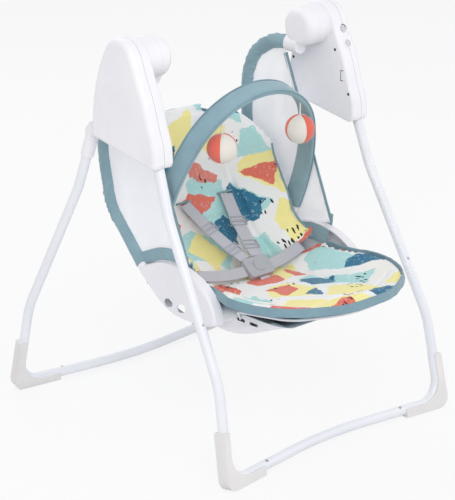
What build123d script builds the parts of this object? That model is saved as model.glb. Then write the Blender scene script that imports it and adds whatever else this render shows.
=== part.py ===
"""Portable baby swing: a folding A-frame of bent tubes, two drive housings and a slung bucket seat.

Millimetres, +Z up, -Y the side the child faces, X from side to side. Every piece is drawn about the
middle of the four feet and moved at export, so that the origin is the middle of the footprint box.
"""
from build123d import *
import math
import os

# Three places that the rest is set out from
hub_y = -10.6              # the swing axis
hub_z = 762.6
arm_x = 195.0              # the plane of a swing arm
seat_z = hub_z - 432.6     # the lower end of the arms, where the seat hangs


def about_hub(points):
    """Side view points given from the swing axis."""
    return [(hub_y + y, hub_z + z) for y, z in points]


def on_seat(points):
    """Side view points whose heights are given from the lower end of the arms."""
    return [(y, seat_z + z) for y, z in points]


# Shared fits
wall = 2.5                 # of every moulded shell
weld = 0.5                 # how far a rib or post runs into the wall that carries it
plug_gap = 0.05            # round a tube end pushed into the next tube
run_gap = 0.05             # running clearance of a shaft or pin
bush_seat = 0.05           # round a part fixed in its bore
cloth_gap = 0.3            # round anything soft
far = 1000.0               # longer than any piece, for cutting blocks

# Frame tubes
tube_d = 20.0
tube_wall = 1.2
plug_length = 45.0
corner_x = 296.4           # axis of the leg where it turns into the base
corner_y = 330.0
base_z = 14.0              # tube axis above the floor
bend_r = 48.0
leg_lean = 0.0534          # sideways spread of a leg, per unit of height
base_slope = 0.13          # how far the base bows inwards, per unit of width
bow_r = 770.0
low_knee_y = 294.0
low_knee_z = 193.0
high_knee_y = 137.0
high_knee_z = hub_z - 279.6
knee_r = 160.0
leg_top_y = 63.0
leg_top_z = hub_z - 72.6
leg_joint_z = 324.0        # where the two halves of a front leg meet
leg_button_drop = 24.0     # snap button below that joint
stud_r = 3.0               # snap button
stud_reach = 1.4           # how far it stands out of the tube
leaf_t = 1.2               # its spring

# Feet
foot_wall = 2.6
foot_base_length = 98.0
foot_leg_length = 100.0
foot_lip = 4.0             # how far the shell wraps past the middle of the tube
foot_heel_r = 24.0
foot_gap = 0.1

# Drive housings
crown_r = 46.0             # top of the housing round the swing axis
crown_turn = 30.0          # where the round top runs into the front and rear edges, from level
housing_rear = about_hub([(63.6, -25.6), (74.6, -62.6), (81.6, -102.6), (85.6, -159.6)])
housing_front = about_hub([(-106.9, -156.6), (-95.4, -117.6), (-84.4, -82.6), (-71.4, -48.6), (-59.4, -23.6)])
housing_corner = about_hub([(-109.5, -195.6)])[0]
housing_toe_r = 16.0
core_low_z = hub_z - 206.6
split_x = 264.0
outer_x = 287.0
inner_x = 240.0
outer_round = 12.0
inner_round = 7.0
boss_r = 40.0
boss_x = arm_x + 13.5
screw_spots = about_hub([(67.6, -81.6), (41.6, -49.6), (-52.4, -46.6), (-92.4, -132.6)])
screw_r = 1.5
screw_head_r = 3.2
screw_head_h = 2.4
screw_boss_r = 4.6
screw_length = 30.0
saddle_heights = (hub_z - 152.6, hub_z - 96.6)
saddle_half = 17.0
saddle_t = 4.0

# Swing shafts and drive
shaft_r = 6.0
bush_wall = 3.0
shaft_end_x = 282.0
lever_t = 10.0
lever_length = 44.0
lever_x = 252.0
lever_room = 6.0           # from the lever to the outer bush
magnet_r = 9.0
coil_r = 13.0
coil_h = 12.0
coil_gap = 3.0
cell_r = 13.0
cell_length = 50.0
cell_z = hub_z - 155.6
shelf_t = 3.0
shelf_margin = 4.0

# Control panel
panel_y = hub_y - 58.9
panel_z = hub_z - 20.6
panel_length = 51.0
panel_width = 19.0
panel_t = 3.0
panel_gap = 0.1
panel_sink = 1.2           # the housing's front is round, so the plate sits a little below its chord
panel_tilt = 30.5
key_r = 5.0
key_h = 4.2
key_stand = 0.4            # how far a key stands out at the end of its travel
key_travel = 1.2
key_gap = 0.15
key_pitch = 30.0

# Rear legs' fold
pivot_y = hub_y + 51.6
pivot_z = hub_z - 122.6
pivot_r = 4.0
eye_r = 12.5
eye_half = 11.5
eye_gap = 0.4
sleeve_r = 13.4
sleeve_low_z = hub_z - 206.6
sleeve_high_z = hub_z - 150.6
notch_gap = 1.6

# Swing arms
arm_start_y = 0.0
arm_z = hub_z - 38.6
arm_rear_y = 146.0
arm_mid_y = 149.0
arm_mid_z = seat_z + 210.0
arm_low_y = 126.0
arm_low_z = seat_z + 102.0
arm_end_y = 28.0
arm_top_r = 108.0
arm_mid_r = 220.0
arm_low_r = 110.0
arm_wall = 2.3
socket_r = 18.0
socket_end_y = 24.0
hub_cap_x = arm_x - 15.0
hub_round = 14.0
hub_floor = 8.0            # closed end of the hub past the shaft
hub_gap = 0.3
sleeve_half_depth = 14.5
sleeve_half_width = 12.2

# Side shells and seat pan
shell_in_x = arm_x - 8.0
shell_out_x = arm_x + 15.0
shell_round = 6.0
collar_reach = 15.0
shell_top = on_seat([(30, -3), (-2, 15), (-33, 26), (-72, 30), (-104, 26), (-150, 9), (-172, -6)])
shell_nose = on_seat([(-190, -30)])[0]
shell_low = on_seat([(-196, -62), (-170, -70), (-120, -74), (-76, -72), (-44, -61), (0, -31), (25, -12)])
grip_length = 25.0
grip_width = 17.0
grip_spots = on_seat([(-61, -50), (-99, -52)])
ear_r = 11.0               # tab that carries the toy bar
ear_root_r = 14.0
ear_t = 3.0
ear_set = 1.0              # further out than the shell's rim, clear of the leaning bar
pan_half = arm_x - 55.0
pan_round = 22.0
pan_low = on_seat([(-11, -53), (-28, -77), (-82, -102), (-140, -110), (-200, -98), (-262, -73), (-318, -53)])
pan_rear_y, pan_rim_z = pan_low[0]
pan_front_y = pan_low[-1][0]
pan_low_z = pan_low[3][1]
pan_ribs = (-70.0, 0.0, 70.0)
pan_rib_t = 2.4
pan_rib_h = 26.0
barrel_y = -172.0
barrel_r = 16.0
slot_spots = (-158.0, -194.0, -230.0)
slot_length = 24.0
slot_width = 7.0
pan_slot_z = seat_z - 66.0
wire_d = 5.0
wire_z = seat_z - 26.0

# Covers
mesh_t = 2.4
mesh_head = (36.0, arm_z - 24.0)
mesh_foot = (-103.0, seat_z + 36.0)
sling_t = 2.0
sling_set_back = 11.0
sling_top_z = seat_z + 266.0
sling_foot = (50.0, seat_z + 23.0)
crease_x = 94.0
pad_crown = 6.0
pad_edge = 7.0

# Harness
shoulder_w = 30.0
web_w = 25.0
web_t = 2.0
slot_x = 56.0
slot_y = 64.0
slot_z = seat_z + 90.0
shoulder_sag = 6.0
waist_x = arm_x - 55.0     # where a waist strap comes out of the pad
waist_y = -74.0
waist_z = seat_z - 8.0
waist_bow = 4.0
crotch_z = seat_z - 39.6   # foot of the crotch strap, on the pad
adjuster_shares = (0.42, 0.80)
adjuster_l = 24.0
adjuster_t = 2.4
buckle_y = -93.0
buckle_z = seat_z - 17.0
buckle_tilt = 38.0
buckle_w = 64.0
buckle_l = 46.0
buckle_h = 14.0
buckle_round = 9.0
strap_clear = 0.8          # middle of a strap's end from the buckle
release_r = 13.0
release_h = 5.0
release_travel = 1.5
release_gap = 0.15

# Toy bar
bar_pivot_y = 10.0
bar_pivot_z = seat_z + 36.0
bar_wide = arm_x - 7.0     # half width of the arch at its widest
bar_wide_up = 75.0         # how far above the pivots that is
bar_top_y = -104.0
bar_top_z = seat_z + 353.0
bar_crown_r = 168.0
bar_t = 9.0
bar_w = 40.0
bar_lip = 1.4              # how far the round ends stand out round the band
bar_pin_r = 4.0
toy_x = 105.0
toy_forward = 13.0         # strings hang near the front edge of the band
toy_r = 30.0
seam_r = 1.2
string_d = 3.0
string_length = 31.0
string_sunk = 7.0          # of that, inside the ball

foot_half = tube_d / 2 + foot_wall
pieces = {}


def side_pair(name, right):
    """Keep a right-hand piece and its mirror image on the left."""
    pieces[name + "_R"] = right
    pieces[name + "_L"] = mirror(right, about=Plane.YZ)


def group(*solids):
    return Compound(children=[s for solid in solids for s in solid.solids()])


def both_sides(right):
    return group(right, mirror(right, about=Plane.YZ))


def x_rod(y, z, r, x0, x1):
    """A rod along X between two places."""
    return Plane((x0, y, z), x_dir=(0, 1, 0), z_dir=(1, 0, 0)) * extrude(Circle(r), x1 - x0)


def block(x0, x1, y0, y1, z0, z1):
    return Pos((x0 + x1) / 2, (y0 + y1) / 2, (z0 + z1) / 2) * Box(x1 - x0, y1 - y0, z1 - z0)


def pipe(path, r, bore=0.0):
    """A round bar or tube along a path."""
    ring = Circle(r) - Circle(bore) if bore else Circle(r)
    return sweep(Plane(path ^ 0) * ring, path=path)


def rod_between(a, b, r, bore=0.0):
    return pipe(Line(a, b), r, bore)


def yz_face(*edges):
    """A face in the side view; its edges are drawn as (y, z)."""
    return Plane.YZ * make_face(edges)


def shifted(points, d):
    """The points of an open outline moved by d to the right of its run."""
    moved = []
    for k, point in enumerate(points):
        before = Vector(*points[max(k - 1, 0)])
        after = Vector(*points[min(k + 1, len(points) - 1)])
        run = (after - before).normalized()
        moved.append((point[0] + run.Y * d, point[1] - run.X * d))
    return moved


# Legs, base tubes and feet


def leg_x(z):
    return corner_x - leg_lean * (z - base_z)


def leg_nodes(end):
    """Corners of a right leg; end is -1 for the front and 1 for the rear."""
    top = Vector(leg_x(leg_top_z), end * leg_top_y, leg_top_z)
    high = Vector(leg_x(high_knee_z), end * high_knee_y, high_knee_z)
    low = Vector(leg_x(low_knee_z), end * low_knee_y, low_knee_z)
    return top, high, low, Vector(corner_x, end * corner_y, base_z)


def base_point(x, end):
    return Vector(x, end * (corner_y - base_slope * (corner_x - x)), base_z)


def on_run(a, b, z):
    return a + (b - a) * ((z - a.Z) / (b.Z - a.Z))


tube_r = tube_d / 2
tube_bore = tube_r - tube_wall
plug_r = tube_bore - plug_gap
plug_bore = plug_r - tube_wall
base_end_x = corner_x - foot_base_length


def plug(mouth, tip):
    """A tube end necked down to slide into the next tube."""
    neck = mouth - (tip - mouth).normalized() * tube_wall
    return rod_between(mouth, tip, plug_r, plug_bore) + rod_between(neck, mouth, tube_r, plug_bore)


def base_plug(end):
    return plug(base_point(base_end_x, end), base_point(base_end_x - plug_length, end))


def snap_button(spot, direction):
    """A spring button: a round stud through both walls of a plugged joint, on a bent leaf."""
    base = Plane(spot, z_dir=direction)
    foot_level = plug_bore - leaf_t
    leaf = base * Pos(0, 0, foot_level - leaf_t / 2) * Box(1.4 * stud_r, 1.4 * stud_r, leaf_t)
    stud_h = tube_r + stud_reach - foot_level
    stud = base * Pos(0, 0, foot_level - weld) * extrude(Circle(stud_r), stud_h + weld)
    crown = base * Pos(0, 0, tube_r + stud_reach) * extrude(Circle(0.7 * stud_r), weld)
    return stud + crown + leaf


def button_hole(spot, direction):
    return Plane(spot, z_dir=direction) * extrude(Circle(stud_r + plug_gap), 2 * tube_r)


def foot(end):
    """A moulded shoe over the outside of the bend, open on the inside, flat underneath."""
    top, high, low, corner = leg_nodes(end)
    along = (base_point(0, end) - corner).normalized()
    up = (low - corner).normalized()
    lay = Plane(corner, x_dir=along, z_dir=along.cross(up))
    rise = lay.to_local_coords(corner + up * foot_leg_length)
    lean = Vector(rise.X, rise.Y).normalized()
    side = Vector(-lean.Y, lean.X)
    leg_end = Vector(rise.X, rise.Y)
    below = base_z + 1.0
    heel = Vector(side.X * foot_half - lean.X / lean.Y * (below + side.Y * foot_half), -below)
    inner = Vector(foot_lip * lean.X / lean.Y - side.X * foot_lip / lean.Y, foot_lip)
    outline = Polyline(
        (foot_base_length, -below),
        heel,
        leg_end + side * foot_half,
        leg_end - side * foot_lip,
        inner,
        (foot_base_length, foot_lip),
        close=True,
    )
    face = make_face(outline)
    near = face.vertices().sort_by_distance((heel.X, heel.Y, 0))[0]
    face = fillet(near, foot_heel_r)
    inside = face.vertices().sort_by_distance((inner.X, inner.Y, 0))[0]
    face = fillet(inside, bend_r - foot_lip)
    ends = face.vertices().sort_by_distance((leg_end.X, leg_end.Y, 0))[0:2]
    face = fillet(ends, 3.0)
    solid = lay * extrude(face, foot_half, both=True)
    solid = solid & block(0, far, -far, far, 0, far)
    channel = FilletPolyline(high, low, corner, base_point(0, end), radius=[knee_r, bend_r])
    return solid - pipe(channel, tube_r + foot_gap)


def leg_buttons(end):
    spots = [(base_point(base_end_x - plug_length / 4, end), Vector(0, end * 0.4, 1))]
    if end < 0:
        top, high, low, corner = leg_nodes(end)
        run = (low - high).normalized()
        spots.append((on_run(high, low, leg_joint_z - leg_button_drop), Vector(0, -run.Z, run.Y) * -1))
    return spots


def legs():
    for end, name in ((-1, "front"), (1, "rear")):
        top, high, low, corner = leg_nodes(end)
        base = FilletPolyline(
            mirrored(base_point(base_end_x, end)),
            base_point(0, end),
            base_point(base_end_x, end),
            radius=bow_r,
        )
        holes = [button_hole(*spot) for spot in leg_buttons(end)]
        base_tube = pipe(base, tube_r, tube_bore) - holes[0] - mirror(holes[0], about=Plane.YZ)
        pieces[name + "_base_tube"] = base_tube
        side_pair(name + "_foot", foot(end))
        buttons = [snap_button(*spot) for spot in leg_buttons(end)]
        pieces["snap_buttons_" + name] = group(*[both_sides(b) for b in buttons])
        base_in = base_point(base_end_x, end)
        if end < 0:
            joint = on_run(high, low, leg_joint_z)
            plug_end = on_run(high, low, leg_joint_z - plug_length)
            upper = pipe(FilletPolyline(top, high, joint, radius=[knee_r]), tube_r, tube_bore)
            upper = upper + plug(joint, plug_end) - holes[1]
            side_pair("front_leg_upper", upper)
            path = FilletPolyline(joint, low, corner, base_in, radius=[knee_r, bend_r])
            lower = pipe(path, tube_r, tube_bore) + base_plug(end)
            side_pair("front_leg_lower", lower - holes[0] - holes[1])
        else:
            start = on_run(top, high, sleeve_high_z)
            path = FilletPolyline(start, high, low, corner, base_in, radius=[knee_r, knee_r, bend_r])
            side_pair("rear_leg", pipe(path, tube_r, tube_bore) + base_plug(end) - holes[0])


def mirrored(point):
    return Vector(-point.X, point.Y, point.Z)


# Drive housings


def housing_outline(inset=0.0):
    """Side view of a housing: round over the swing axis, widening to the legs, open below."""
    r = crown_r - inset
    turn = math.radians(crown_turn)
    crown_rear = (hub_y + r * math.cos(turn), hub_z + r * math.sin(turn))
    crown_front = (hub_y - r * math.cos(turn), hub_z + r * math.sin(turn))
    rear = [crown_rear] + shifted(housing_rear, inset)
    front = shifted(housing_front, inset) + [crown_front]
    slope = (math.sin(turn), -math.cos(turn))
    toe_run = Vector(*housing_front[0]) - Vector(*housing_corner)
    if inset:
        low = Polyline(rear[-1], (rear[-1][0], core_low_z), (front[0][0], core_low_z), front[0])
    else:
        low = FilletPolyline(rear[-1], housing_corner, front[0], radius=housing_toe_r)
    return yz_face(
        ThreePointArc(crown_front, (hub_y, hub_z + r), crown_rear),
        Spline(*rear, tangents=[slope, (0.08, -1)]),
        *low.edges(),
        Spline(*front, tangents=[toe_run, (slope[0], -slope[1])]),
    )


def half_shell(face, x_from, x_to, rounding):
    """One moulded half: a rounded tray of even wall, open at the split and underneath."""
    depth = x_to - x_from
    way = math.copysign(1, depth)
    body = Pos(x_from, 0, 0) * extrude(face, depth)
    rim = body.edges().group_by(Axis.X)[-1 if way > 0 else 0]
    body = fillet(rim, rounding)
    for inset, skin in ((wall, rounding - 3), (wall + 0.4 * rounding, wall)):
        core = Pos(x_from, 0, 0) * extrude(housing_outline(inset), depth - way * skin)
        body = body - core
    return body


def saddles(x_from, x_to):
    """Ribs that hold the top of a front leg."""
    top, high, low, corner = leg_nodes(-1)
    ribs = []
    for z in saddle_heights:
        y = on_run(top, high, z).Y
        ribs.append(block(x_from, x_to, y - saddle_half, y + saddle_half, z, z + saddle_t))
    return ribs


def housings():
    face = housing_outline()
    top, high, low, corner = leg_nodes(-1)
    leg_room = rod_between(top + (top - high) * 0.02, high, tube_r + foot_gap)
    outer = half_shell(face, split_x, outer_x, outer_round)
    inner = half_shell(face, split_x, inner_x, inner_round)
    outer_wall = outer_x - wall
    inner_wall = inner_x + wall
    for rib in saddles(split_x, outer_wall + weld):
        outer = outer + rib
    for rib in saddles(inner_wall - weld, split_x):
        inner = inner + rib
    for y, z in screw_spots:
        outer = outer + x_rod(y, z, screw_boss_r, split_x, outer_wall + weld)
        inner = inner + x_rod(y, z, screw_boss_r, inner_wall - weld, split_x)
        hole = x_rod(y, z, screw_r + plug_gap, inner_x - 1, inner_wall + screw_length + 1)
        head_room = x_rod(y, z, screw_head_r + foot_gap, inner_x - 1, inner_wall)
        outer = outer - hole
        inner = inner - hole - head_room
    bush_r = shaft_r + run_gap + bush_wall
    hub_bore = x_rod(hub_y, hub_z, bush_r + bush_seat, boss_x - 1, outer_wall)
    barrel = x_rod(hub_y, hub_z, boss_r, boss_x, inner_wall)
    barrel = barrel - x_rod(hub_y, hub_z, boss_r - wall, boss_x + wall, inner_wall)
    near_bush = (boss_x, lever_x - lever_room / 3)
    far_bush = (lever_x + lever_t + lever_room, outer_wall)
    post = x_rod(hub_y, hub_z, bush_r + wall, *near_bush)
    inner = inner - x_rod(hub_y, hub_z, boss_r - wall, inner_x - 1, inner_wall) + barrel + post - hub_bore
    tail = x_rod(hub_y, hub_z, bush_r + wall, far_bush[0], outer_wall + weld)
    outer = outer + tail - hub_bore
    post_r = pivot_r + 1.4 * wall
    pin_post = x_rod(pivot_y, pivot_z, post_r, split_x + eye_half + eye_gap, outer_wall + weld)
    pin_post_in = x_rod(pivot_y, pivot_z, post_r, inner_wall - weld, split_x - eye_half - eye_gap)
    pin_hole = x_rod(pivot_y, pivot_z, pivot_r + bush_seat, inner_wall, outer_wall)
    outer = outer + pin_post - pin_hole
    inner = inner + pin_post_in - pin_hole
    half = sleeve_r + notch_gap
    notch_y = pivot_y + eye_r + 2.5 * notch_gap
    notch = block(split_x - half, split_x + half, notch_y, far, core_low_z, pivot_z + eye_r / 2)
    outer = outer - leg_room - notch
    inner = inner - leg_room - notch
    side_pair("housing_outer", outer)
    side_pair("housing_inner", inner)
    for name in ("housing_outer_R", "housing_inner_R"):
        for room in control_rooms():
            pieces[name] = pieces[name] - room
    screws = []
    for y, z in screw_spots:
        head = x_rod(y, z, screw_head_r, inner_wall - screw_head_h, inner_wall)
        screws.append(head + x_rod(y, z, screw_r, inner_wall, inner_wall + screw_length))
    pieces["housing_screws"] = group(*[both_sides(s) for s in screws])
    pins = x_rod(pivot_y, pivot_z, pivot_r, inner_wall, outer_wall)
    pieces["leg_pivot_pins"] = both_sides(pins)
    bushes = []
    for x0, x1 in (near_bush, far_bush):
        bushes.append(x_rod(hub_y, hub_z, bush_r, x0, x1) - x_rod(hub_y, hub_z, shaft_r + run_gap, x0, x1))
    pieces["shaft_bushes"] = group(*[both_sides(b) for b in bushes])


# Controls and drive


def control_plane():
    """On the round front of the right housing; local x runs up the panel, z points out."""
    tilt = math.radians(panel_tilt)
    out = Vector(0, -math.cos(tilt), math.sin(tilt))
    spot = Vector(split_x, panel_y, panel_z) - out * panel_sink
    return Plane(spot, x_dir=(0, math.sin(tilt), math.cos(tilt)), z_dir=out)


def control_rooms():
    """Cuts in the right housing: a seat for the panel and a pocket under each key."""
    face = control_plane()
    seat = SlotOverall(panel_length + 2 * panel_gap, panel_width + 2 * panel_gap)
    rooms = [face * Pos(0, 0, -panel_t) * extrude(seat, crown_r)]
    for way in (1, -1):
        pocket = extrude(Circle(key_r + key_gap), key_h + crown_r)
        rooms.append(face * Pos(way * key_pitch / 2, 0, -key_h) * pocket)
    return rooms


def controls():
    face = control_plane()
    plate = face * Pos(0, 0, -panel_t) * extrude(SlotOverall(panel_length, panel_width), panel_t)
    for way, name in ((1, "speed_key"), (-1, "timer_key")):
        spot = face * Pos(way * key_pitch / 2, 0, 0)
        plate = plate - spot * Pos(0, 0, -panel_t) * extrude(Circle(key_r + key_gap), panel_t)
        key = spot * Pos(0, 0, key_travel + key_stand - key_h) * extrude(Circle(key_r), key_h)
        rim = key.edges().sort_by(lambda edge: (edge.center() - face.origin).dot(face.z_dir))[-1]
        pieces[name] = fillet(rim, 2 * key_stand)
    pieces["control_panel"] = plate


def drive():
    """A magnet lever on the right shaft over a coil, with two dry cells below."""
    hang = hub_z - lever_length
    lever = x_rod(hub_y, hub_z, shaft_r + 2 * wall, lever_x, lever_x + lever_t)
    lever = lever + block(lever_x, lever_x + lever_t, hub_y - lever_t / 2, hub_y + lever_t / 2, hang, hub_z)
    lever = lever + x_rod(hub_y, hang, magnet_r, lever_x, lever_x + lever_t)
    pieces["magnet_lever"] = lever - x_rod(hub_y, hub_z, shaft_r + bush_seat, lever_x, lever_x + lever_t)
    foot_level = hang - magnet_r - coil_gap - coil_h
    bobbin = extrude(Circle(coil_r) - Circle(coil_r / 2), coil_h)
    pieces["drive_coil"] = Pos(split_x, hub_y, foot_level) * bobbin
    front = hub_y - coil_r - shelf_margin
    rear = hub_y + coil_r + shelf_margin
    shelf = block(inner_x + wall, outer_x - wall, front, rear, foot_level - shelf_t, foot_level)
    pitch = 2 * cell_r + 1
    cells = []
    for k in (0, 1):
        cell = extrude(Circle(cell_r), cell_length)
        cell = cell + Pos(0, 0, cell_length) * extrude(Circle(cell_r / 3), 3 * weld)
        cells.append(Pos(split_x, front + cell_r + k * pitch, cell_z) * cell)
    pieces["battery_cells"] = group(*cells)
    tray = block(inner_x + wall, outer_x - wall, front, front + 2 * pitch, cell_z - shelf_t, cell_z)
    pieces["drive_shelves"] = group(shelf, tray)


def rear_brackets():
    """Moulded elbows that pivot in the housings and hold the rear legs."""
    top, high, low, corner = leg_nodes(1)
    sleeve = rod_between(on_run(top, high, sleeve_high_z + 8), on_run(top, high, sleeve_low_z), sleeve_r)
    seat = on_run(top, high, sleeve_high_z - 4)
    eye = Pos(pivot_y, pivot_z) * Circle(eye_r)
    knuckle = Pos(seat.Y, seat.Z) * Circle(sleeve_r - 1)
    web = Plane.YZ * make_hull(eye.edges() + knuckle.edges())
    arm = Pos(split_x, 0, 0) * extrude(web, eye_half, both=True)
    mouth = on_run(top, high, sleeve_low_z - tube_r)
    bore = rod_between(on_run(top, high, sleeve_high_z), mouth, tube_r + plug_gap)
    pin = x_rod(pivot_y, pivot_z, pivot_r + run_gap, inner_x, outer_x)
    side_pair("rear_leg_bracket", arm + sleeve - bore - pin)


# Swing arms and seat


def arm_path():
    """Side view of an arm: back from the hub, down behind the seat, forward into the side shell."""
    return FilletPolyline(
        Vector(arm_x, arm_start_y, arm_z),
        Vector(arm_x, arm_rear_y, arm_z),
        Vector(arm_x, arm_mid_y, arm_mid_z),
        Vector(arm_x, arm_low_y, arm_low_z),
        Vector(arm_x, arm_end_y, seat_z),
        radius=[arm_top_r, arm_mid_r, arm_low_r],
    )


def shell_outline(inset=0.0):
    """Side view of a seat side: a rounded leaf, cut off where the arm goes in."""
    top = shifted(shell_top, -inset)
    low = shifted(shell_low, -inset)
    nose = (shell_nose[0] + inset, shell_nose[1])
    return yz_face(
        Spline(*top),
        ThreePointArc(top[-1], nose, low[0]),
        Spline(*low),
        Line(low[-1], top[0]),
    )


def arms():
    path = arm_path()
    side_pair("arm_tube", pipe(path, tube_r, tube_r - arm_wall))
    cap = x_rod(hub_y, hub_z, boss_r, hub_cap_x, boss_x - hub_gap)
    cap = fillet(cap.edges().group_by(Axis.X)[0], hub_round)
    socket = rod_between((arm_x, hub_y, arm_z), (arm_x, socket_end_y, arm_z), socket_r)
    neck = block(arm_x - tube_r, boss_x - hub_gap, hub_y - tube_r, hub_y + tube_r, arm_z, hub_z)
    cap = cap + (socket & block(0, boss_x - hub_gap, -far, far, 0, far)) + neck
    cap = cap - rod_between((arm_x, arm_start_y, arm_z), (arm_x, socket_end_y + 1, arm_z), tube_r + plug_gap)
    shaft_x = hub_cap_x + hub_floor
    side_pair("arm_hub", cap - x_rod(hub_y, hub_z, shaft_r + bush_seat, shaft_x, outer_x))
    pieces["swing_shafts"] = both_sides(x_rod(hub_y, hub_z, shaft_r, shaft_x, shaft_end_x))
    section = Plane(path ^ 0) * Ellipse(sleeve_half_depth, sleeve_half_width)
    sleeve = sweep(section, path=path) - pipe(path, tube_r + cloth_gap)
    sleeve = sleeve - block(0, far, -far, socket_end_y + cloth_gap, arm_z - 2 * tube_d, far)
    low_end = arm_end_y + collar_reach + tube_r / 2
    shell_room = Pos(shell_in_x - 1, 0, 0) * extrude(shell_outline(), far)
    side_pair("arm_sleeve", sleeve - shell_room - block(0, far, -far, low_end, 0, arm_mid_z))
    shells(path)
    wings(path)


def collar_rod(r):
    """The mouth of a side shell round the arm's lower end."""
    end = Vector(arm_x, arm_end_y, seat_z)
    run = (Vector(arm_x, arm_low_y, arm_low_z) - end).normalized()
    return rod_between(end - run * collar_reach, end + run * collar_reach, r)


def shells(path):
    face = shell_outline()
    body = Pos(shell_in_x, 0, 0) * extrude(face, shell_out_x - shell_in_x)
    body = fillet(body.edges().group_by(Axis.X)[-1], shell_round)
    core = Pos(shell_in_x, 0, 0) * extrude(shell_outline(wall), shell_out_x - shell_in_x - wall)
    collar = collar_rod(tube_r + wall) & block(shell_in_x, shell_out_x - 1, -far, far, 0, far)
    body = body - core + collar - pipe(path, tube_r + plug_gap)
    for y, z in grip_spots:
        lay = Plane((shell_in_x, y, z), x_dir=(0, 1, -0.25), z_dir=(1, 0, 0))
        body = body - extrude(lay * SlotOverall(grip_length, grip_width), far)
    ear = Pos(bar_pivot_y, bar_pivot_z) * Circle(ear_r)
    root = Pos(bar_pivot_y - 4, bar_pivot_z - 30) * Circle(ear_root_r)
    tab = Plane.YZ * make_hull(ear.edges() + root.edges())
    body = body + Pos(shell_in_x + ear_set, 0, 0) * extrude(tab, ear_t)
    pin = x_rod(bar_pivot_y, bar_pivot_z, bar_pin_r, bar_foot_x(0) - bar_t / 2 - 2, shell_in_x + ear_set + 1)
    side_pair("side_shell", body + pin)


def wings(path):
    """Mesh panels from the arm to the front binding, and the sling behind the pad."""
    rear = arm_mid_y + tube_r
    low = Vector(arm_low_y, arm_low_z)
    corners = [mesh_head, (rear, mesh_head[1]), (rear, low.Y), (arm_end_y + tube_r, seat_z), mesh_foot]
    panel = Plane.YZ * make_face(Polyline(*corners, close=True))
    panel = Pos(arm_x - mesh_t / 2, 0, 0) * extrude(panel, mesh_t)
    section = Plane(path ^ 0) * Ellipse(sleeve_half_depth + cloth_gap, sleeve_half_width + cloth_gap)
    behind = block(0, far, low.X, far, 0, far)
    shell_room = Pos(shell_in_x - 1, 0, 0) * extrude(shell_outline(-cloth_gap), far)
    panel = panel - sweep(section, path=path) - behind - shell_room - collar_rod(tube_r + wall + cloth_gap)
    side_pair("side_mesh", panel.solids().sort_by(SortBy.VOLUME)[-1])
    back = FilletPolyline(
        (arm_mid_y + sling_set_back, sling_top_z),
        (arm_mid_y + sling_set_back, arm_mid_z),
        (arm_low_y + sling_set_back, arm_low_z),
        (sling_foot[0] + sling_set_back, sling_foot[1]),
        radius=[arm_mid_r, arm_low_r],
    )
    strip = Plane.YZ * make_face(offset(back, sling_t / 2, side=Side.BOTH))
    half = arm_x - sleeve_half_width - cloth_gap
    pieces["back_sling"] = Pos(-half, 0, 0) * extrude(strip, 2 * half)


def pan_outline(inset):
    """Side view of the scoop; inset draws its hollow, open above."""
    low = shifted(pan_low, inset)
    front, rear = low[-1], low[0]
    rim = [front, (front[0], front[1] + inset), (rear[0], rear[1] + inset), rear]
    return yz_face(Spline(*low), Polyline(*rim) if inset else Line(front, rear))


def seat_pan():
    """A moulded scoop under the pad, hung between the shells on two short barrels."""
    face = pan_outline(0.0)
    body = Pos(-pan_half, 0, 0) * extrude(face, 2 * pan_half)
    ends = body.edges().group_by(Axis.X)
    bottom = [e for e in ends[0] + ends[-1] if abs(e.center().Z - pan_rim_z) > 1]
    body = fillet(bottom, pan_round)
    deep = 0.65 * pan_round
    for side, inset in ((wall, deep), (deep, wall)):
        core = Pos(side - pan_half, 0, 0) * extrude(pan_outline(inset), 2 * (pan_half - side))
        body = body - core
    for way in (1, -1):
        for y in slot_spots:
            lay = Plane((way * (pan_half - 2 * wall), y, pan_slot_z), x_dir=(0, 1, 0), z_dir=(way, 0, 0))
            body = body - extrude(lay * SlotOverall(slot_length, slot_width), 4 * wall)
        root = way * (pan_half - wall)
        body = body + x_rod(barrel_y, pan_rim_z, barrel_r, root, way * shell_in_x)
    low, high = pan_low_z, pan_low_z + pan_rib_h
    for x in pan_ribs:
        rib = Pos(x - pan_rib_t / 2, 0, 0) * extrude(face, pan_rib_t)
        span = block(x - pan_rib_t, x + pan_rib_t, pan_front_y + 30, pan_rear_y - 30, low, high)
        body = body + (rib & span)
    pieces["seat_pan"] = body


def footrest_wire():
    """A bent wire from the scoop's sides, under the hem of the pad's front."""
    half = [
        Vector(pan_half - wall - 1, -190, pan_slot_z),
        Vector(arm_x - 37, -205, wire_z - 16),
        Vector(arm_x - 11, -242, wire_z),
        Vector(arm_x - 49, -340, wire_z),
    ]
    nose = Vector(0, -410, wire_z)
    path = FilletPolyline(
        *half,
        nose,
        *[mirrored(p) for p in reversed(half)],
        radius=[20.0, 20.0, 70.0, 220.0, 70.0, 20.0, 20.0],
    )
    pieces["footrest_wire"] = pipe(path, wire_d / 2)
    pieces["seat_pan"] = pieces["seat_pan"] - pipe(path, wire_d / 2 + plug_gap)


# Soft covers


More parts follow.
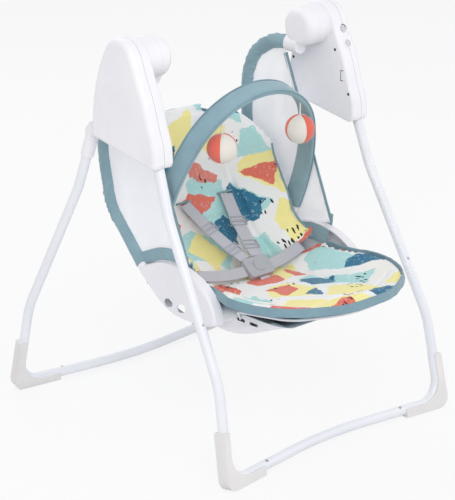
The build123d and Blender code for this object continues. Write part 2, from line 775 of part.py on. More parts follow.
def pad_section(y, rise, lean, t, inset, d):
    """A cross section of the pad: a crowned middle between two creases, and a side flap on each edge.

    y and rise place the middle of its face, rise from the lower end of the arms; lean tips its back
    downwards from level, t is its thickness, inset how far its edges stay inside the arms' planes
    and d how far the flaps come forward.
    """
    tip = math.radians(lean)
    lay = Plane((0, y, seat_z + rise), x_dir=(1, 0, 0), z_dir=(0, -math.sin(tip), -math.cos(tip)))
    w = arm_x - inset
    c = min(crease_x, 0.55 * w)
    m = (w + c) / 2
    half = [(w, d), (m, 0.42 * d - 1.5), (c, 0), (c, -t), (m, 0.42 * d - 0.9 * t - 1.5), (w, d - pad_edge)]
    left = [(-x, v) for x, v in half]
    edges = [
        ThreePointArc(left[0], left[1], left[2]),
        ThreePointArc(left[2], (0, pad_crown), half[2]),
        ThreePointArc(half[2], half[1], half[0]),
        Line(half[0], half[5]),
        ThreePointArc(half[5], half[4], half[3]),
        ThreePointArc(half[3], (0, -t - 0.5), left[3]),
        ThreePointArc(left[3], left[4], left[5]),
        Line(left[5], left[0]),
    ]
    return lay * make_face(edges)


back_stations = [
    (137.0, 273.0, 0.0, 9.0, 137.0, 1.0),
    (133.0, 252.0, 0.0, 13.0, 84.0, 8.0),
    (129.0, 233.0, 1.0, 16.0, 43.0, 36.0),
    (125.0, 208.0, 3.0, 19.0, 28.0, 58.0),
    (119.0, 172.0, 8.0, 20.0, 21.0, 78.0),
    (112.0, 140.0, 14.0, 20.0, 20.0, 83.0),
    (92.0, 98.0, 26.0, 20.0, 22.0, 83.0),
    (52.0, 46.0, 30.0, 18.0, 24.0, 80.0),
    (5.0, -7.0, 37.0, 15.0, 27.0, 76.0),
    (-31.0, -42.0, 45.0, 12.0, 27.0, 69.0),
]
seat_stations = [
    (-37.0, -47.0, 47.0, 11.0, 27.0, 62.0),
    (-95.0, -47.0, 75.0, 12.0, 15.0, 52.0),
    (-175.0, -42.0, 90.0, 12.0, 11.0, 45.0),
    (-228.0, -36.0, 90.0, 12.0, -5.0, 39.0),
    (-290.0, -26.0, 90.0, 12.0, 5.0, 29.0),
    (-345.0, -15.0, 90.0, 12.0, 40.0, 18.0),
    (-383.0, -5.0, 90.0, 11.0, 97.0, 8.0),
    (-402.0, 0.0, 90.0, 10.0, 151.0, 3.0),
]


def pads():
    for name, stations in (("back_pad", back_stations), ("seat_pad", seat_stations)):
        pieces[name] = loft([pad_section(*station) for station in stations])


# Harness


def strap_plane(start, end, across):
    """Local x runs down the strap, local y towards the pad and local z across the webbing."""
    run = Vector(*end) - Vector(*start)
    wide = Vector(*across)
    wide = (wide - run * (wide.dot(run) / run.dot(run))).normalized()
    return Plane(start, x_dir=run, z_dir=wide), run.length


def strap(start, end, sag, across, width):
    """Webbing from one point to another, bowed by sag towards the pad."""
    lay, length = strap_plane(start, end, across)
    face = make_face(
        [
            ThreePointArc((0, 0), (length / 2, sag), (length, 0)),
            Line((length, 0), (length, web_t)),
            ThreePointArc((length, web_t), (length / 2, sag + web_t), (0, web_t)),
            Line((0, web_t), (0, 0)),
        ]
    )
    return lay * extrude(face, width / 2, both=True)


def buckle_plane():
    tilt = math.radians(buckle_tilt)
    return Plane((0, buckle_y, buckle_z), x_dir=(1, 0, 0), z_dir=(0, -math.sin(tilt), math.cos(tilt)))


def harness():
    lay = buckle_plane()
    body = extrude(RectangleRounded(buckle_w, buckle_l, buckle_round), buckle_h / 2, both=True)
    body = fillet(body.edges().group_by(Axis.Z)[-1], buckle_round / 3)
    well = Pos(0, 0, buckle_h / 2 - release_h) * extrude(Circle(release_r + release_gap), release_h)
    pieces["buckle_body"] = lay * (body - well)
    cap = Pos(0, 0, buckle_h / 2 - release_h + release_travel) * extrude(Circle(release_r), release_h)
    pieces["buckle_release"] = lay * fillet(cap.edges().group_by(Axis.Z)[-1], 1.0)
    edge = buckle_w / 2
    reach = buckle_l / 2
    shoulder_end = lay.from_local_coords((edge - shoulder_w / 2 - 1, reach + strap_clear, 0))
    shoulder = ((slot_x, slot_y, slot_z), shoulder_end, shoulder_sag, (1, 0, 0), shoulder_w)
    side_pair("shoulder_strap", strap(*shoulder))
    waist_end = lay.from_local_coords((edge + strap_clear, -2.0, 0))
    waist_start = (waist_x, waist_y, waist_z)
    side_pair("waist_strap", strap(waist_start, waist_end, -waist_bow, lay.y_dir, web_w))
    crotch_top = lay.from_local_coords((0, -reach - strap_clear, 0))
    crotch_foot = (0, crotch_top.Y - 6.0, crotch_z)
    pieces["crotch_strap"] = strap(crotch_foot, crotch_top, 0.5, (1, 0, 0), web_w)
    sliders = [adjuster(share, *shoulder) for share in adjuster_shares]
    pieces["strap_adjusters"] = group(*[both_sides(slider) for slider in sliders])


def adjuster(share, start, end, sag, across, width):
    """A two-window slider lying on the outer face of a bowed strap, part of the way down."""
    lay, length = strap_plane(start, end, across)
    r = (length**2 / 4 + sag**2) / (2 * sag)
    along = (share - 0.5) * length
    level = math.sqrt(r**2 - along**2)
    tilt = math.degrees(math.asin(along / r))
    rim = RectangleRounded(adjuster_l, width + 8, 3)
    window = Rectangle(adjuster_l / 3 - 1, width + 2)
    frame = rim - Pos(adjuster_l / 4, 0) * window - Pos(-adjuster_l / 4, 0) * window
    spot = Pos(share * length, level - r + sag, 0) * Rot(0, 0, -tilt) * Rot(90, 0, 0)
    return lay * spot * Pos(0, 0, cloth_gap) * extrude(frame, adjuster_t)


# Toy bar and toys


def bar_plane():
    """The leaning plane of the arch: local x is across the seat, local y runs up the arch."""
    up = Vector(0, bar_top_y - bar_pivot_y, bar_top_z - bar_pivot_z)
    return Plane((0, bar_pivot_y, bar_pivot_z), x_dir=(1, 0, 0), z_dir=Vector(1, 0, 0).cross(up)), up.length


def arch_flank():
    """Radius of the arch's side arcs, and the direction in which they meet its round top."""
    lay, rise = bar_plane()
    drop = rise - bar_crown_r - bar_wide_up
    flank = (bar_wide**2 + drop**2 - bar_crown_r**2) / (2 * (bar_wide - bar_crown_r))
    return flank, Vector(flank - bar_wide, drop).normalized()


def bar_foot_x(grow):
    """Half width of the arch at its pivots."""
    flank, meet = arch_flank()
    return bar_wide - flank + math.sqrt((flank + grow) ** 2 - bar_wide_up**2)


def arch(grow):
    """The arch's outline, grown outwards: a round top run smoothly into two long side arcs."""
    lay, rise = bar_plane()
    flank, meet = arch_flank()
    top = bar_crown_r + grow
    crown = rise - bar_crown_r
    shoulder = (top * meet.X, crown + top * meet.Y)
    waist = (bar_wide + grow, bar_wide_up)
    spring = (bar_foot_x(grow), 0)
    return [
        ThreePointArc((-spring[0], 0), (-waist[0], waist[1]), (-shoulder[0], shoulder[1])),
        ThreePointArc((-shoulder[0], shoulder[1]), (0, crown + top), shoulder),
        ThreePointArc(shoulder, waist, spring),
        Line(spring, (-spring[0], 0)),
    ]


def toy_bar():
    lay, rise = bar_plane()
    half = bar_t / 2
    band = extrude(make_face(arch(half)) - make_face(arch(-half)), bar_w / 2, both=True)
    band = fillet(band.edges().filter_by(GeomType.CIRCLE), bar_t / 4)
    disc = extrude(Circle(bar_w / 2 + bar_lip), bar_t + bar_lip)
    end = Pos(bar_foot_x(0) - half - bar_lip / 2, 0, 0) * Rot(0, 90, 0) * disc
    band = lay * (band + end + mirror(end, about=Plane.YZ))
    hole = x_rod(bar_pivot_y, bar_pivot_z, bar_pin_r + run_gap, -far, far)
    pieces["toy_bar"] = band - hole
    level = rise - bar_crown_r + math.sqrt((bar_crown_r - half) ** 2 - toy_x**2)
    hang = lay.from_local_coords((toy_x, level, toy_forward)) - Vector(0, 0, 0.6 * string_d + cloth_gap)
    tip = hang - Vector(0, 0, string_length)
    side_pair("toy_string", rod_between(hang, tip, string_d / 2))
    side_pair("toy_ball", Pos(tip + Vector(0, 0, string_sunk - toy_r)) * toy())


def toy():
    """A stuffed ball of four gores, drawn in at the seams, with a hole for its string."""
    ball = Sphere(toy_r)
    for turn in (0, 90):
        ball = ball - Rot(0, 0, turn) * Rot(90, 0, 0) * Torus(toy_r + seam_r / 3, seam_r)
    return ball - Pos(0, 0, toy_r - string_sunk) * extrude(Circle(string_d / 2 + plug_gap), toy_r)


def main():
    legs()
    housings()
    controls()
    drive()
    rear_brackets()
    arms()
    seat_pan()
    footrest_wire()
    pads()
    harness()
    toy_bar()
    reach = [piece.bounding_box() for piece in pieces.values()]
    middle = (min(box.min.Y for box in reach) + max(box.max.Y for box in reach)) / 2
    print("moved back by", round(-middle, 3))
    os.makedirs("parts", exist_ok=True)
    for name, piece in pieces.items():
        export_step(Pos(0, -middle, 0) * piece, "parts/" + name + ".step")


main()
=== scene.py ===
import math

import bmesh
import bpy
from mathutils import Matrix, Vector, kdtree, noise


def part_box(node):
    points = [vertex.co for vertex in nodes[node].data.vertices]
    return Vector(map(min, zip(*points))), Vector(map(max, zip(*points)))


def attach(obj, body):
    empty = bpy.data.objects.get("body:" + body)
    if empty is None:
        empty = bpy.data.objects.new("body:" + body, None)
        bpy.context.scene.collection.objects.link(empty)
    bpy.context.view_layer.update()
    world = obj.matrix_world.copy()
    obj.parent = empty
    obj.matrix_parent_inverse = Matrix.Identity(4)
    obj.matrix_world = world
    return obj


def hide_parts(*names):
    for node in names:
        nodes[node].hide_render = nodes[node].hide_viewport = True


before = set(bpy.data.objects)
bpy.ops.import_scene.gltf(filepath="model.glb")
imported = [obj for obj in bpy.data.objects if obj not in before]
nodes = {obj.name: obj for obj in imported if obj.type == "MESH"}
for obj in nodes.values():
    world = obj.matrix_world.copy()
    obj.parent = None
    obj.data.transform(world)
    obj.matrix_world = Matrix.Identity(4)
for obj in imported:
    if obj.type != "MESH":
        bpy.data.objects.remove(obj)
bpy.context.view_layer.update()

# Sizes in metres, as in the part's source; its drawing is moved back so that the footprint is centred
SET_BACK = 0.02876
MM = 0.001
SIDES = (("L", -1), ("R", 1))
SPLIT_X = 0.264
PANEL_TILT = math.radians(30.5)
LINE = 0.0022


def place(x, y, z):
    """A point of the drawing, given in millimetres."""
    return Vector((x * MM, y * MM + SET_BACK, z * MM))


PANEL = place(264, -69.5, 742)


# Shader maths


class Shade:
    """A socket of a material that takes part in sums."""

    def __init__(self, tree, socket=None):
        self.tree = tree
        self.socket = socket

    def node(self, kind, settings=None, inputs=None, out=0):
        made = self.tree.nodes.new("ShaderNode" + kind)
        for name, value in (settings or {}).items():
            if name == "stops":
                ramp = made.color_ramp
                ramp.interpolation = "CONSTANT"
                ramp.elements.remove(ramp.elements[-1])
                for k, (spot, colour) in enumerate(value):
                    element = ramp.elements.new(spot) if k else ramp.elements[0]
                    element.color = (*colour, 1)
            else:
                setattr(made, name, value)
        for name, value in (inputs or {}).items():
            if isinstance(value, Shade):
                self.tree.links.new(value.socket, made.inputs[name])
            else:
                made.inputs[name].default_value = value
        return Shade(self.tree, made.outputs[out])

    def maths(self, operation, *values, clamp=False):
        return self.node("Math", {"operation": operation, "use_clamp": clamp}, dict(enumerate(values)))

    def __add__(self, other):
        return self.maths("ADD", self, other)

    def __radd__(self, other):
        return self.maths("ADD", other, self)

    def __sub__(self, other):
        return self.maths("SUBTRACT", self, other)

    def __rsub__(self, other):
        return self.maths("SUBTRACT", other, self)

    def __mul__(self, other):
        return self.maths("MULTIPLY", self, other)

    def __rmul__(self, other):
        return self.maths("MULTIPLY", other, self)

    def sine(self):
        return self.maths("SINE", self)

    def step(self, low, high):
        """0 below low and 1 above high."""
        return self.node("MapRange", {"interpolation_type": "SMOOTHSTEP"}, {0: self, 1: low, 2: high})

    def tint(self, a, b):
        """Colour a where this is 0, b where it is 1."""
        a, b = ((*c, 1) if isinstance(c, tuple) else c for c in (a, b))
        return self.node("Mix", {"data_type": "RGBA"}, {0: self, 6: a, 7: b}, out=2)


def finish(name, **values):
    """A new Principled material; returns it with its start for sums and its shader node."""
    made = bpy.data.materials.new(name)
    made.use_nodes = True
    tree = made.node_tree
    shader = tree.nodes["Principled BSDF"]
    for socket, value in values.items():
        shader.inputs[socket.replace("_", " ")].default_value = value
    return made, Shade(tree), shader


def feed(start, shader, **links):
    for socket, value in links.items():
        start.tree.links.new(value.socket, shader.inputs[socket.replace("_", " ")])


def bump(start, height, strength, distance):
    return start.node("Bump", None, {"Strength": strength, "Distance": distance, "Height": height})


def spots(start, scale, detail=3.0, rough=0.55, source="Object"):
    """Fractal noise on the object's own coordinates."""
    where = start.node("TexCoord", out={"Object": 3, "UV": 2}[source])
    look = {"Vector": where, "Scale": scale, "Detail": detail, "Roughness": rough}
    return start.node("TexNoise", None, look)


def split(start, source="Object"):
    """The separate coordinates of a point."""
    where = start.node("TexCoord", out={"Object": 3, "UV": 2}[source])
    return [start.node("SeparateXYZ", None, {0: where}, out=k) for k in range(3)]


def moulded(name, colour, shade, rough, grain=900.0, depth=0.06, **values):
    """Moulded plastic: a spark-eroded grain, faint cloudiness and uneven gloss."""
    made, start, shader = finish(name, IOR=1.46, **values)
    cloud = spots(start, 14.0)
    fine = spots(start, grain, 2.0)
    feed(
        start, shader,
        Base_Color=cloud.step(0.3, 0.75).tint(shade, colour),
        Roughness=rough + (fine - 0.5) * 0.16 + (cloud - 0.5) * 0.1,
        Normal=bump(start, fine, depth, 0.0004),
    )
    return made


def between(value, low, high):
    """1 from low to high and 0 outside."""
    return value.step(low, low + 0.0004) * (1 - value.step(high - 0.0004, high))


def latch_slot_and_shade(start):
    """The bracket-shaped slot on the inner face of the right housing, as a mask that parted() sinks and
    paints near black as shade in the recess.
    """
    x, y, z = split(start)
    low, high = place(240, -88, 654), place(240, -79.5, 677)
    arms = between(z, low.z, low.z + LINE) + between(z, high.z - LINE, high.z)
    shape = between(y, high.y - LINE, high.y) * between(z, low.z, high.z) + between(y, low.y, high.y) * arms
    return shape.maths("MINIMUM", shape * between(x, high.x - LINE, high.x + LINE), 1.0)


def parted(name, colour, shade, rough):
    """The housings' plastic, with the line where their two halves meet and the latch slot in painted shade.
    """
    made, start, shader = finish(name, IOR=1.46)
    x = split(start)[0]
    gap = x.maths("ABSOLUTE", x.maths("ABSOLUTE", x) - SPLIT_X)
    seam = 1 - gap.step(0.0002, 0.0006)
    slot = latch_slot_and_shade(start)
    cloud = spots(start, 14.0)
    fine = spots(start, 900.0, 2.0)
    plain = cloud.step(0.3, 0.75).tint(shade, colour)
    # The latch slot is coloured near black: painted shade for the inside of the recess.
    feed(
        start, shader,
        Base_Color=slot.tint(seam.tint(plain, tuple(0.45 * c for c in colour)), (0.06, 0.06, 0.07)),
        Roughness=rough + (fine - 0.5) * 0.16 + seam * 0.2,
        Normal=bump(start, fine * 0.2 - seam - slot, 0.3, 0.0005),
    )
    return made


def marked(name, colour, ink):
    """The control panel's plastic, with plain rings round its keys and three dots between them."""
    made, start, shader = finish(name, Roughness=0.4, IOR=1.46)
    x, y, z = split(start)
    across = x - SPLIT_X
    along = (y - PANEL.y) * math.sin(PANEL_TILT) + (z - PANEL.z) * math.cos(PANEL_TILT)
    marks = None
    for spot, radius in ((-0.015, 0.0068), (0.015, 0.0068), (-0.004, 0.0), (0.0, 0.0), (0.004, 0.0)):
        up = along - spot
        gap = across.maths("SQRT", across * across + up * up) - radius
        line = 1 - gap.maths("ABSOLUTE", gap).step(0.0003, 0.0006)
        marks = line if marks is None else marks.maths("MAXIMUM", marks, line)
    fine = spots(start, 900.0, 2.0)
    feed(start, shader, Base_Color=marks.tint(colour, ink), Normal=bump(start, fine, 0.05, 0.0004))
    return made


def painted(name, colour, shade, rough):
    """Stoved paint on steel tube: an orange-peel skin under a clear gloss."""
    made, start, shader = finish(name, Coat_Roughness=0.12, IOR=1.5)
    peel = spots(start, 320.0, 1.0)
    cloud = spots(start, 9.0)
    feed(
        start, shader,
        Base_Color=cloud.step(0.3, 0.75).tint(shade, colour),
        Roughness=rough + (cloud - 0.5) * 0.14,
        Coat_Weight=0.25 + (cloud - 0.5) * 0.2,
        Normal=bump(start, peel, 0.05, 0.0005),
    )
    return made


def metal(name, colour, rough):
    made, start, shader = finish(name, Metallic=1.0)
    brushed = spots(start, 260.0, 4.0)
    feed(
        start, shader,
        Base_Color=brushed.step(0.25, 0.8).tint(tuple(0.75 * c for c in colour), colour),
        Roughness=rough + (brushed - 0.5) * 0.25,
        Normal=bump(start, brushed, 0.08, 0.0003),
    )
    return made


def weave_height(start, across, along):
    """A plain weave from two crossed sets of threads, counted over the piece's own map."""
    u, v = split(start, "UV")[:2]
    warp = (u * (across * math.pi)).sine()
    weft = (v * (along * math.pi)).sine()
    return warp * warp * 0.5 + weft * weft * 0.5


def woven(name, colour, shade, light, across, along, rough=0.85):
    """Cloth with a thread pattern, a melange of tones and a soft sheen."""
    made, start, shader = finish(name, Sheen_Weight=0.25, Sheen_Roughness=0.5)
    threads = weave_height(start, across, along)
    tones = spots(start, 420.0, 2.0, 0.7)
    wide = spots(start, 16.0, 3.0)
    base = wide.step(0.25, 0.75).tint(shade, colour)
    feed(
        start, shader,
        Base_Color=(tones.step(0.45, 0.8) * 0.45 * threads).tint(base, light),
        Roughness=rough + (tones - 0.5) * 0.2,
        Normal=bump(start, threads + tones * 0.5, 0.35, 0.0005),
    )
    return made


white_shell = moulded("white moulded plastic", (0.87, 0.86, 0.89), (0.83, 0.82, 0.865), 0.42)
housing_shell = parted("white housing plastic", (0.87, 0.86, 0.89), (0.83, 0.82, 0.865), 0.42)
panel_face = marked("control panel plastic", (0.86, 0.85, 0.88), (0.30, 0.31, 0.36))
warm_shell = moulded("foot plastic", (0.80, 0.78, 0.765), (0.75, 0.73, 0.725), 0.5, 700.0, 0.1)
grey_plastic = moulded("grey buckle plastic", (0.42, 0.43, 0.47), (0.37, 0.38, 0.42), 0.45)
pale_grey = moulded("key plastic", (0.62, 0.62, 0.67), (0.57, 0.57, 0.62), 0.4)
dark_plastic = moulded("dark inner plastic", (0.05, 0.05, 0.055), (0.035, 0.035, 0.04), 0.55)
tube_paint = painted("white tube paint", (0.83, 0.84, 0.88), (0.79, 0.80, 0.85), 0.34)
dark_steel = metal("dark screw steel", (0.10, 0.10, 0.11), 0.4)
bright_steel = metal("bright steel", (0.62, 0.62, 0.64), 0.3)
copper = metal("enamelled copper", (0.62, 0.28, 0.13), 0.35)
TEAL = (0.27, 0.42, 0.48)
TEAL_DARK = (0.22, 0.35, 0.41)
TEAL_LIGHT = (0.42, 0.57, 0.62)
teal_sleeve = woven("teal sleeve cloth", TEAL, TEAL_DARK, TEAL_LIGHT, 110, 900)
teal_bar = woven("teal toy bar cloth", TEAL, TEAL_DARK, TEAL_LIGHT, 100, 1000)
teal_tape = woven("teal binding tape", (0.22, 0.35, 0.41), (0.18, 0.30, 0.36), TEAL, 12, 700)
teal_sling = woven("teal sling cloth", TEAL, TEAL_DARK, TEAL_LIGHT, 420, 380)


NET_PITCH = 0.0024


def net(name):
    """Knitted net: a lattice of fine holes in white yarn, brightened by a faint white emission that is
    painted light.
    """
    # Painted light: a faint white emission lifts the net's brightness, though the net is no lamp.
    painted_glow = {"Emission_Color": (0.9, 0.9, 0.95, 1), "Emission_Strength": 0.16}
    made, start, shader = finish(name, Roughness=0.8, **painted_glow)
    u, v = split(start, "UV")[:2]
    pitch = math.pi / NET_PITCH
    lattice = ((u + v) * pitch).sine() * ((u - v) * pitch).sine()
    holes = (lattice * lattice).step(0.12, 0.4)
    cloud = spots(start, 12.0)
    feed(
        start, shader,
        Base_Color=cloud.step(0.3, 0.7).tint((0.86, 0.86, 0.89), (0.92, 0.92, 0.94)),
        Alpha=1 - holes * 0.55,
        Normal=bump(start, 1 - holes, 0.4, 0.0006),
    )
    return made


CORAL = (0.74, 0.165, 0.12)
YELLOW = (0.92, 0.83, 0.34)
AQUA = (0.43, 0.72, 0.72)
DEEP = (0.022, 0.165, 0.29)
CREAM = (0.89, 0.88, 0.84)
INK = (0.012, 0.013, 0.016)


def printed(name):
    """Pad cloth with a print of loose pebbles and flecks on white, over a plain weave."""
    made, start, shader = finish(name, Sheen_Weight=0.15, Sheen_Roughness=0.5)
    where = start.node("TexCoord", out=2)
    wander = start.node("TexNoise", None, {"Vector": where, "Scale": 38.0, "Detail": 3.0}, out=1)
    wander = start.node("VectorMath", {"operation": "SCALE"}, {0: wander, "Scale": 0.022})
    drawn = start.node("VectorMath", {"operation": "ADD"}, {0: where, 1: wander})
    colour = (0.87, 0.875, 0.88)
    wash = start.node("TexNoise", None, {"Vector": drawn, "Scale": 160.0, "Detail": 4.0, "Roughness": 0.7})
    layers = (
        (9.0, 0.0, 0.10, ((0.0, AQUA), (0.3, YELLOW), (0.55, CREAM), (0.7, AQUA))),
        (11.0, 3.7, 0.17, ((0.0, CORAL), (0.34, DEEP), (0.48, CORAL), (0.6, YELLOW), (0.8, AQUA))),
    )
    for scale, offset, gap, palette in layers:
        layer = {"Vector": drawn, "Location": (offset, offset, 0), "Rotation": (0, 0, 0.5)}
        cells = {"Vector": start.node("Mapping", None, layer), "Scale": scale}
        flat = {"voronoi_dimensions": "2D"}
        cell = start.node("TexVoronoi", flat, cells, out=1)
        rim = start.node("TexVoronoi", {**flat, "feature": "DISTANCE_TO_EDGE"}, cells)
        pick = start.node("SeparateXYZ", None, {0: cell})
        shown = start.node("SeparateXYZ", None, {0: cell}, out=1).step(0.26, 0.28)
        pebble = rim.step(gap, gap + 0.02) * shown
        body = start.node("ValToRGB", {"stops": palette}, {0: pick})
        worn = pebble * (1 - wash.step(0.56, 0.66) * 0.5)
        colour = worn.tint(colour, body)
    slanted = {"Vector": drawn, "Scale": (1.0, 0.45, 1.0), "Rotation": (0, 0, 0.9)}
    fleck_map = start.node("Mapping", None, slanted)
    fleck = start.node("TexVoronoi", {"voronoi_dimensions": "2D"}, {"Vector": fleck_map, "Scale": 95.0})
    grove = start.node("TexNoise", None, {"Vector": where, "Scale": 9.0})
    colour = ((1 - fleck.step(0.2, 0.24)) * grove.step(0.58, 0.6)).tint(colour, INK)
    u, v = split(start, "UV")[:2]
    threads = (u * 4200.0).sine() * (v * 4200.0).sine()
    soft = spots(start, 60.0, 4.0)
    feed(
        start, shader,
        Base_Color=colour,
        Roughness=0.82 + (soft - 0.5) * 0.15,
        Normal=bump(start, threads * 0.5 + soft, 0.25, 0.0008),
    )
    return made


def ribbed(name, colour, shade):
    """Webbing: ribs along its length and cross threads."""
    made, start, shader = finish(name, Sheen_Weight=0.2)
    u, v = split(start, "UV")[:2]
    ribs = (u * (18 * math.pi)).sine()
    ticks = (v * (260 * math.pi)).sine()
    height = ribs * ribs * 0.7 + ticks * ticks * 0.3
    # The colour follows the rib and thread height, darker in the grooves between them: painted shade.
    feed(
        start, shader,
        Base_Color=height.step(0.2, 0.8).tint(shade, colour),
        Roughness=0.7 + (height - 0.5) * 0.1,
        Normal=bump(start, height, 0.5, 0.0006),
    )
    return made


def gored(name, centre, turn):
    """Plush of a stuffed ball: four panels in two colours, the first seam turned about the upright."""
    made, start, shader = finish(name, Sheen_Weight=0.35, Roughness=0.9)
    where = start.node("TexCoord", out=3)
    about = {"Vector": where, "Location": centre, "Rotation": (0, 0, turn)}
    where = start.node("Mapping", {"vector_type": "TEXTURE"}, about)
    x, y, z = (start.node("SeparateXYZ", None, {0: where}, out=k) for k in range(3))
    panel = x * y * 1e5
    nap = spots(start, 900.0, 3.0)
    red = nap.step(0.3, 0.7).tint((0.68, 0.11, 0.075), (0.80, 0.17, 0.12))
    pale = nap.step(0.3, 0.7).tint((0.70, 0.66, 0.60), (0.80, 0.77, 0.71))
    feed(
        start, shader,
        Base_Color=panel.step(-0.6, 0.6).tint(red, pale),
        Normal=bump(start, nap, 0.35, 0.0006),
    )
    return made


white_net = net("white wing net")
pad_print = printed("printed pad cloth")
grey_webbing = ribbed("grey webbing", (0.56, 0.56, 0.61), (0.45, 0.45, 0.51))
cord_yarn = woven("white toy string", (0.78, 0.77, 0.74), (0.68, 0.67, 0.64), (0.85, 0.84, 0.82), 4, 60)

# Mesh helpers


def keep(name, mesh, body, material, replaced=()):
    """A finished mesh as a piece of the object, riding on a body."""
    obj = bpy.data.objects.new(name, mesh)
    bpy.context.scene.collection.objects.link(obj)
    mesh.materials.clear()
    mesh.materials.append(material)
    mesh.polygons.foreach_set("use_smooth", [True] * len(mesh.polygons))
    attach(obj, body)
    if replaced:
        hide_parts(*replaced)
    return obj


def surface(name, across, along, shape, closed=False, thick=0.0):
    """A grid laid by shape(u, v), with u and v from 0 to 1 kept as its map; closed joins u's two edges."""
    bm = bmesh.new()
    bm.loops.layers.uv.new("UVMap")
    bmesh.ops.create_grid(bm, x_segments=across, y_segments=along, size=1.0, calc_uvs=True)
    for vert in bm.verts:
        vert.co = shape((vert.co.x + 1) / 2, (vert.co.y + 1) / 2)
    if closed:
        bmesh.ops.remove_doubles(bm, verts=bm.verts, dist=1e-6)
    bmesh.ops.recalc_face_normals(bm, faces=bm.faces)
    if thick:
        bmesh.ops.solidify(bm, geom=bm.faces, thickness=thick)
    mesh = bpy.data.meshes.new(name)
    bm.to_mesh(mesh)
    bm.free()
    return mesh


def rounded_path(points, radii, pieces=14):
    """A run of points through the corners, each turned on its own radius."""
    corners = [Vector(p) for p in points]
    path = [corners[0]]
    for k, radius in enumerate(radii, 1):
        corner = corners[k]
        back = (corners[k - 1] - corner).normalized()
        on = (corners[k + 1] - corner).normalized()
        half = back.angle(on) / 2
        reach = radius / math.tan(half)
        middle = corner + (back + on).normalized() * (radius / math.sin(half))
        a = corner + back * reach - middle
        b = corner + on * reach - middle
        for j in range(pieces + 1):
            path.append(middle + Matrix.Rotation(a.angle(b) * j / pieces, 3, a.cross(b)) @ a)
    path.append(corners[-1])
    return path


class Run:
    """Points read along a path by their share of its length."""

    def __init__(self, path):
        self.path = path
        self.marks = [0.0]
        for a, b in zip(path, path[1:]):
            self.marks.append(self.marks[-1] + (b - a).length)
        self.length = self.marks[-1]

    def at(self, share):
        """The point at a share of the length, and the way on from it."""
        goal = min(max(share, 0.0), 1.0) * self.length
        k = 0
        while k < len(self.path) - 2 and self.marks[k + 1] < goal:
            k += 1
        a, b = self.path[k], self.path[k + 1]
        way = b - a
        t = (goal - self.marks[k]) / max(way.length, 1e-9)
        return a.lerp(b, t), way.normalized()


def ripple(x, y, z=0.0):
    """Smooth noise about zero."""
    return noise.noise(Vector((x, y, z)))


def piping(name, points, radius, body, material, sides=10):
    """A round sewn edge along a run of points."""
    run = Run(points)
    cuts = max(8, int(run.length / 0.006))
    across = Vector((1, 0, 0))

    def skin(u, v):
        spot, way = run.at(v)
        side = way.cross(across)
        side = side.normalized() if side.length > 0.2 else way.cross(Vector((0, 1, 0))).normalized()
        up = way.cross(side)
        turn = 2 * math.pi * u
        return spot + (side * math.cos(turn) + up * math.sin(turn)) * radius

    return keep(name, surface(name, sides, cuts, skin, closed=True), body, material)


def node_mesh(name, *names):
    """A merged copy of CAD nodes' meshes."""
    bm = bmesh.new()
    for n in names:
        bm.from_mesh(nodes[n].data)
    bmesh.ops.remove_doubles(bm, verts=bm.verts, dist=1e-5)
    mesh = bpy.data.meshes.new(name)
    bm.to_mesh(mesh)
    bm.free()
    return mesh


def applied(obj):
    """The mesh of an object with its modifiers applied."""
    graph = bpy.context.evaluated_depsgraph_get()
    return bpy.data.meshes.new_from_object(obj.evaluated_get(graph))


def remeshed(mesh, voxel):
    obj = bpy.data.objects.new("shape", mesh)
    bpy.context.scene.collection.objects.link(obj)
    cut = obj.modifiers.new("voxels", "REMESH")
    cut.mode = "VOXEL"
    cut.voxel_size = voxel
    soft = obj.modifiers.new("soft", "SMOOTH")
    soft.iterations = 2
    made = applied(obj)
    bpy.data.objects.remove(obj)
    return made


def inflated(mesh, pressure, cap, frames=20):
    """Fills a closed mesh by a cloth simulation; no point moves further than cap."""
    scene = bpy.context.scene
    obj = bpy.data.objects.new("filling", mesh)
    scene.collection.objects.link(obj)
    rest = [v.co.copy() for v in mesh.vertices]
    cloth = obj.modifiers.new("fill", "CLOTH")
    cloth.settings.use_pressure = True
    cloth.settings.uniform_pressure_force = pressure
    cloth.settings.effector_weights.gravity = 0
    cloth.settings.quality = 4
    cloth.point_cache.frame_end = frames
    for k in range(1, frames + 1):
        scene.frame_set(k)
    made = applied(obj)
    bpy.data.objects.remove(obj)
    scene.frame_set(1)
    for vert, start in zip(made.vertices, rest):
        move = vert.co - start
        if move.length > cap:
            vert.co = start + move * (cap / move.length)
    return made


def smooth_path(points, pieces=10):
    """A soft line through every point."""
    ends = [points[0] * 2 - points[1], *points, points[-1] * 2 - points[-2]]
    path = []
    for a, b, c, d in zip(ends, ends[1:], ends[2:], ends[3:]):
        for k in range(pieces):
            t = k / pieces
            bend = (a * 2 - b * 5 + c * 4 - d) * t**2 + (b * 3 - a - c * 3 + d) * t**3
            path.append((b * 2 + (c - a) * t + bend) / 2)
    return path + [points[-1]]


# Pads

PAD_CREASE = 0.094
PAD_VOXEL = 0.0043
SEAM_DEEP = 0.006
SEAM_WIDE = 0.005
PUCKER_DEEP = 0.0012
PUCKER_WIDE = 0.022
# Down the back and out along the seat: y, z, lean, thickness, half width and how far the flaps come forward
BACK_STATIONS = (
    (137, 603, 0, 9, 58, 1), (133, 582, 0, 13, 111, 8), (129, 563, 1, 16, 152, 36),
    (125, 538, 3, 19, 167, 58), (119, 502, 8, 20, 174, 78), (112, 470, 14, 20, 175, 83),
    (92, 428, 26, 20, 173, 83), (52, 376, 30, 18, 171, 80), (5, 323, 37, 15, 168, 76),
    (-31, 288, 45, 12, 168, 69),
)
SEAT_STATIONS = (
    (-37, 283, 47, 11, 168, 62), (-95, 283, 75, 12, 180, 52), (-175, 288, 90, 12, 184, 45),
    (-228, 294, 90, 12, 200, 39), (-290, 304, 90, 12, 190, 29), (-345, 315, 90, 12, 155, 18),
    (-383, 325, 90, 11, 98, 8), (-402, 330, 90, 10, 44, 3),
)
middle_run = Run([place(0, s[0], s[1]) for s in BACK_STATIONS + SEAT_STATIONS])


